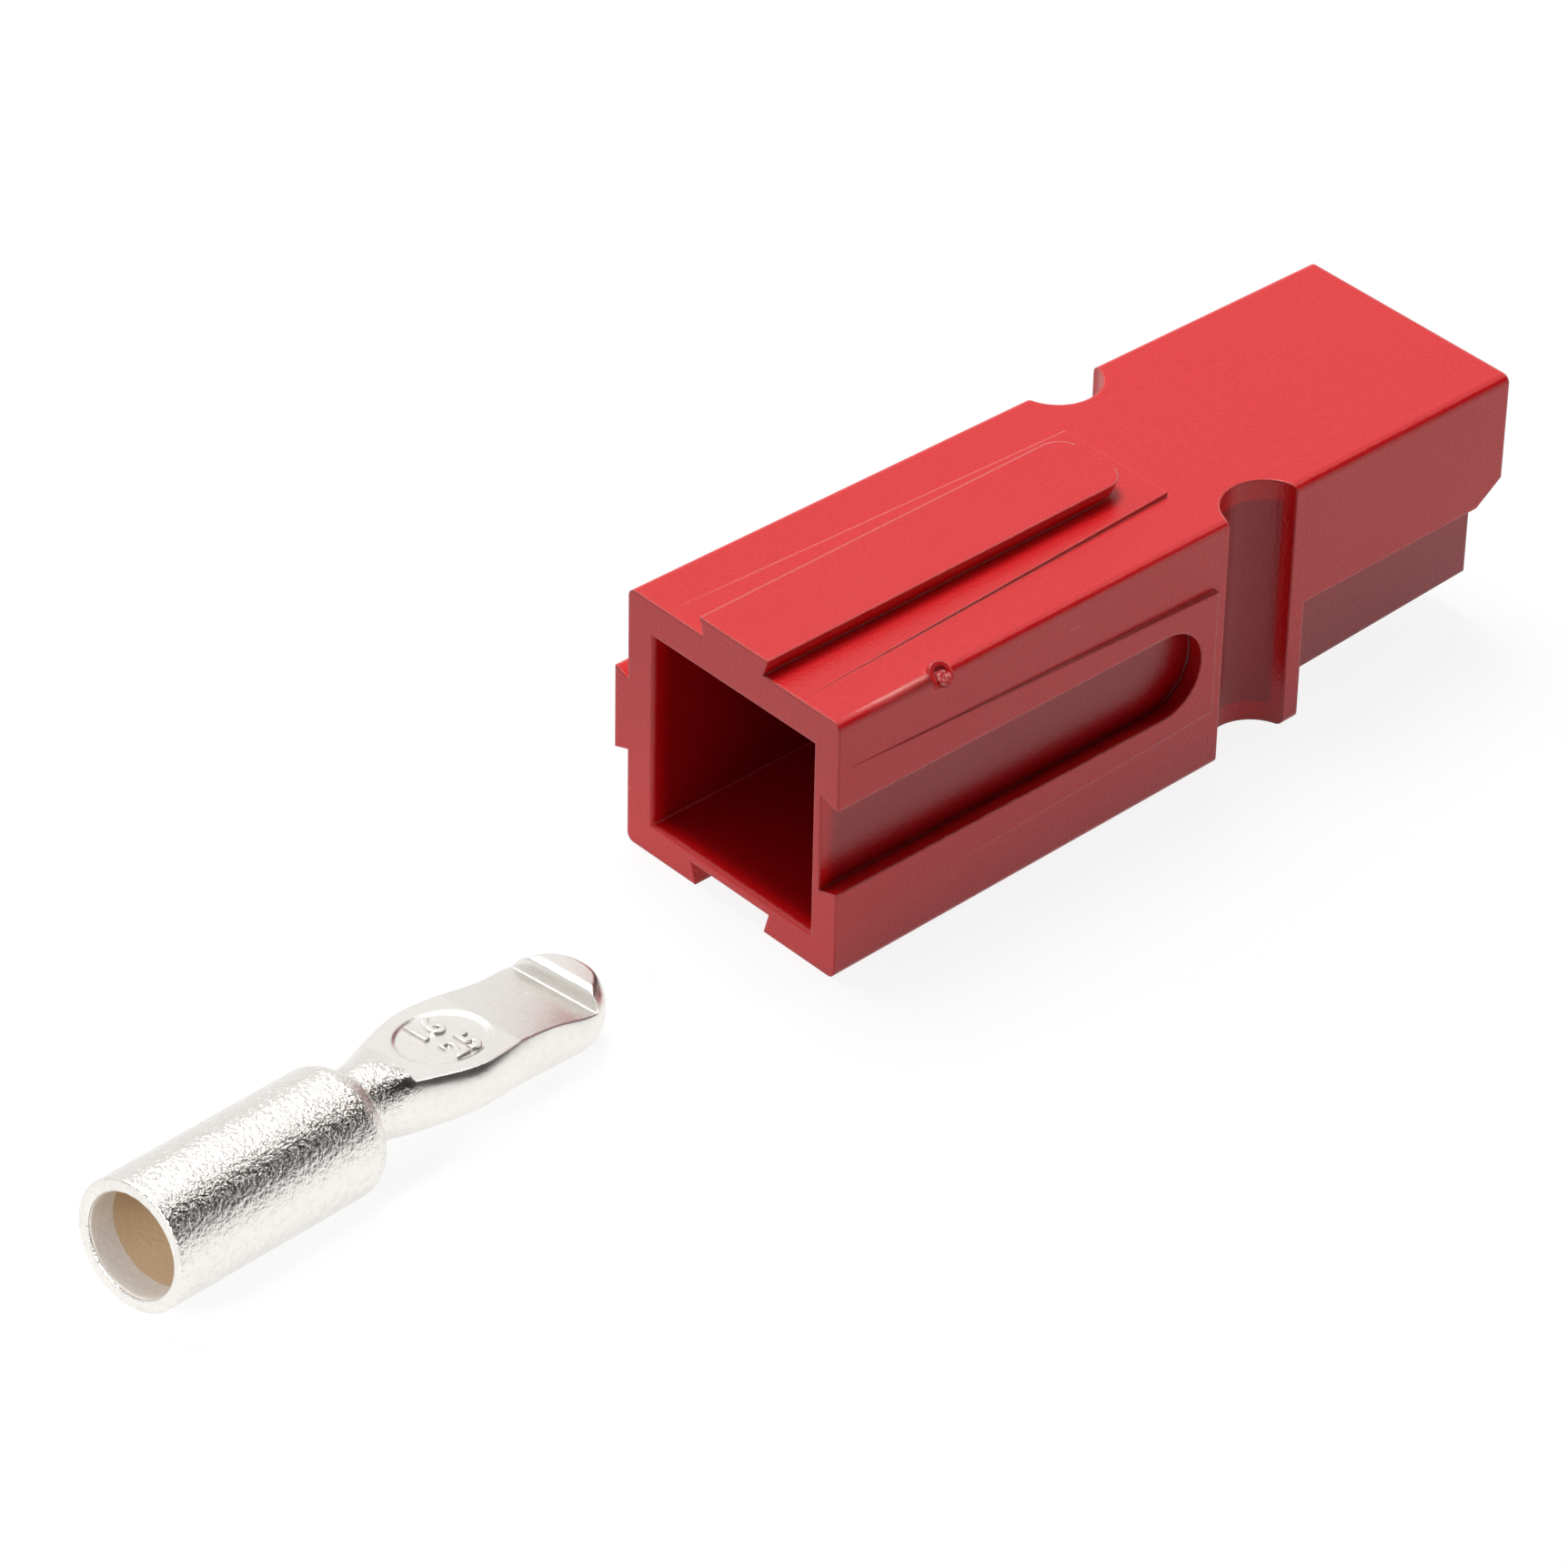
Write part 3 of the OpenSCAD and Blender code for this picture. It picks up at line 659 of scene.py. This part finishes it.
class CONNECTOR_OT_contact(bpy.types.Operator):
    """Silver plated crimp contact with raised figures in its oval recess"""

    bl_idname = "connector.contact"
    bl_label = "Contact"

    def execute(self, context):
        settings = context.scene.contact_settings
        mouth, heading, turn = contact_frame()
        material = silver_plating(settings, mouth, heading)
        shape = ContactShape(settings)
        piece = add_grid("plated_contact", placed(shape.surface() * MM, turn, mouth), material)
        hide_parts("contact")
        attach(piece, "root")
        for row, (text, side, ahead) in enumerate(FIGURES):
            self.figures(context, f"raised_figures_{row + 1}", text, side, ahead, shape, material, turn, mouth)
        return {"FINISHED"}

    def figures(self, context, name, text, side, ahead, shape, material, turn, mouth):
        """Figures of the wire size, laid on the floor of the recess and following its slope."""
        font = bpy.data.curves.new(name, "FONT")
        font.body = text
        font.size = 1.95
        font.space_character = 1.15
        font.align_x, font.align_y = "CENTER", "CENTER"
        font.extrude, font.bevel_depth, font.bevel_resolution = 0.075, 0.04, 2
        font.offset = 0.035
        holder = bpy.data.objects.new(name, font)
        context.scene.collection.objects.link(holder)
        context.view_layer.update()
        mesh = bpy.data.meshes.new_from_object(holder.evaluated_get(context.evaluated_depsgraph_get()))
        bpy.data.objects.remove(holder)
        flat = np.zeros(len(mesh.vertices) * 3)
        mesh.vertices.foreach_get("co", flat)
        flat = flat.reshape(-1, 3)
        s = shape.oval[0] + ahead + flat[:, 0]
        points = np.stack([s, side + flat[:, 1], shape.pad_height(s) + flat[:, 2] + 0.03], -1)
        mesh.vertices.foreach_set("co", placed(points * MM, turn, mouth).ravel())
        piece = add_piece(name, mesh, material, 40)
        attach(piece, "root")


class CONNECTOR_OT_spring(bpy.types.Operator):
    """Bowed leaf spring on the floor of the trough"""

    bl_idname = "connector.spring"
    bl_label = "Retention spring"

    def execute(self, context):
        settings = context.scene.spring_settings
        node = frame["nodes"]["retention_spring"]
        material = satin_steel(settings)
        node.data.materials.clear()
        node.data.materials.append(material)
        return {"FINISHED"}


class CONNECTOR_OT_studio(bpy.types.Operator):
    """Pale floor, soft light and the camera"""

    bl_idname = "connector.studio"
    bl_label = "Studio"

    def execute(self, context):
        settings = context.scene.studio_settings
        self.floor(context, settings)
        self.light(context, settings)
        self.camera(context, settings)
        context.scene.view_settings.view_transform = "Standard"
        return {"FINISHED"}

    def floor(self, context, settings):
        """Wide round floor, so far out that its rim is never seen."""
        r = np.array([0.0, 0.05, 0.3, 2.0, 12.0])[:, None]
        t = np.linspace(0.0, 2 * math.pi, 64, endpoint=False)[None, :]
        points = np.stack([r * np.cos(t), r * np.sin(t), 0 * r * t - 0.02 * MM], -1)
        material = bpy.data.materials.new("studio_floor")
        graph = Graph(material)
        rays = graph.add("ShaderNodeLightPath").socket.node
        seen = [Wire(graph, rays.outputs[n]) for n in ("Is Camera Ray", "Is Glossy Ray", "Is Transmission Ray")]
        shown = seen[0].at_least(seen[1]).at_least(seen[2])
        matt = graph.add("ShaderNodeBsdfDiffuse", None, tuple(settings.surface))
        white = graph.add("ShaderNodeEmission", None, (1.0, 1.0, 1.0), 1.10)
        graph.add("ShaderNodeOutputMaterial", None, graph.add("ShaderNodeMixShader", None, shown * 0.80, matt, white))
        piece = add_grid("studio_floor", points, material)
        piece.data.flip_normals()

    def light(self, context, settings):
        """Even light all round, a dark cloth on one side, a softbox overhead and two small lamps."""
        world = bpy.data.worlds.new("studio")
        context.scene.world = world
        graph = Graph(world)
        graph.add("ShaderNodeOutputWorld", None, graph.add("ShaderNodeBackground", None, (1.0, 1.0, 1.0), settings.sky))
        # Cap of a sphere: a point at angle q from the cap's axis and turn t is cos q, sin q cos t, sin q sin t.
        # Its lower edge is lifted off the floor ahead of the housing, so that a low strip of light comes in there.
        q = np.linspace(0.0, settings.screen_span, 24)[:, None]
        t = np.linspace(0.0, 2 * math.pi, 64, endpoint=False)[None, :]
        cap = np.stack([np.cos(q) + 0 * t, np.sin(q) * np.cos(t), np.sin(q) * np.sin(t)], -1)
        turn = Vector((-0.20, -0.75, 0.60)).to_track_quat("X", "Z").to_matrix()
        cap = placed(cap, turn, (0.0, 0.0, 0.0))
        heading = np.arctan2(cap[..., 1], cap[..., 0])
        lift = np.radians(np.interp(np.cos(heading), (-0.75, -0.45, 0.17, 0.45), (-20.0, 22.0, 22.0, 10.0)))
        rise = np.maximum(np.arcsin(np.clip(cap[..., 2], -1.0, 1.0)), lift)
        cap = np.stack([np.cos(rise) * np.cos(heading), np.cos(rise) * np.sin(heading), np.sin(rise)], -1)
        cloth = bpy.data.materials.new("dark_cloth")
        graph = Graph(cloth)
        graph.add("ShaderNodeOutputMaterial", None, graph.add("ShaderNodeBsdfDiffuse", None, tuple(settings.screen)))
        screen = add_grid("dark_screen", cap, cloth)
        screen.visible_camera = False
        middle = Vector((0.0, 0.0, 0.0))
        overhead = Vector((0.10, 0.32, 0.94)) * LAMP_DISTANCE
        self.lamp(context, "softbox", overhead, middle, shape="RECTANGLE", size=0.30, size_y=0.30, energy=settings.key)
        # A narrow strip lamp up ahead brightens the housing's long edges.
        ahead = Vector((0.55, -0.10, 0.83)) * LAMP_DISTANCE
        self.lamp(
            context, "edge_strip", ahead, middle, shape="RECTANGLE", size=0.04, size_y=0.22, energy=settings.edge_light
        )
        # A small lamp ahead of the contact's mouth lights the bore.
        mouth, heading, _ = contact_frame()
        place = mouth - heading * 0.06 + Vector((0.0, -0.008, 0.036))
        self.lamp(
            context, "bore_lamp", place, mouth + heading * 0.003,
            shape="DISK", size=0.03, energy=settings.bore_light, spread=math.radians(20),
        )

    def lamp(self, context, name, place, target, **values):
        """Area lamp at a place, turned towards a target."""
        data = bpy.data.lights.new(name, "AREA")
        for key, value in values.items():
            setattr(data, key, value)
        lamp = bpy.data.objects.new(name, data)
        lamp.location = place
        lamp.rotation_euler = (target - place).to_track_quat("-Z", "Y").to_euler()
        context.scene.collection.objects.link(lamp)

    def camera(self, context, settings):
        """Camera 36 degrees above the floor, behind and to the right of the housing."""
        data = bpy.data.cameras.new("camera")
        data.lens, data.sensor_width = settings.lens, 36.0
        data.clip_start, data.clip_end = 0.01, 30.0
        camera = bpy.data.objects.new("camera", data)
        width = context.scene.housing_settings.body_width
        axis = Vector((HOUSING_LOW.x, HOUSING_LOW.y + width / 2, 0.0))
        camera.location = axis + Vector(CAMERA_OFFSET)
        camera.rotation_euler = Euler([math.radians(a) for a in CAMERA_TURN], "XYZ")
        context.scene.collection.objects.link(camera)
        context.scene.camera = camera


class CONNECTOR_PT_panel(bpy.types.Panel):
    bl_idname = "CONNECTOR_PT_panel"
    bl_label = "Connector"
    bl_space_type = "VIEW_3D"
    bl_region_type = "UI"
    bl_category = "Connector"

    def draw(self, context):
        for name, operator in PARTS:
            box = self.layout.box()
            box.operator(operator.bl_idname)
            group = getattr(context.scene, name)
            for key in group.__annotations__:
                box.prop(group, key)


GROUPS = (
    ("housing_settings", HousingSettings),
    ("contact_settings", ContactSettings),
    ("spring_settings", SpringSettings),
    ("studio_settings", StudioSettings),
)
PARTS = (
    ("housing_settings", CONNECTOR_OT_housing),
    ("contact_settings", CONNECTOR_OT_contact),
    ("spring_settings", CONNECTOR_OT_spring),
    ("studio_settings", CONNECTOR_OT_studio),
)


def register():
    for name, group in GROUPS:
        bpy.utils.register_class(group)
        setattr(bpy.types.Scene, name, PointerProperty(type=group))
    for _, operator in PARTS:
        bpy.utils.register_class(operator)
    bpy.utils.register_class(CONNECTOR_PT_panel)


def unregister():
    bpy.utils.unregister_class(CONNECTOR_PT_panel)
    for _, operator in PARTS:
        bpy.utils.unregister_class(operator)
    for name, group in GROUPS:
        delattr(bpy.types.Scene, name)
        bpy.utils.unregister_class(group)


def main():
    register()
    bpy.ops.connector.housing()
    bpy.ops.connector.contact()
    bpy.ops.connector.spring()
    bpy.ops.connector.studio()


if __name__ == "__main__":
    main()
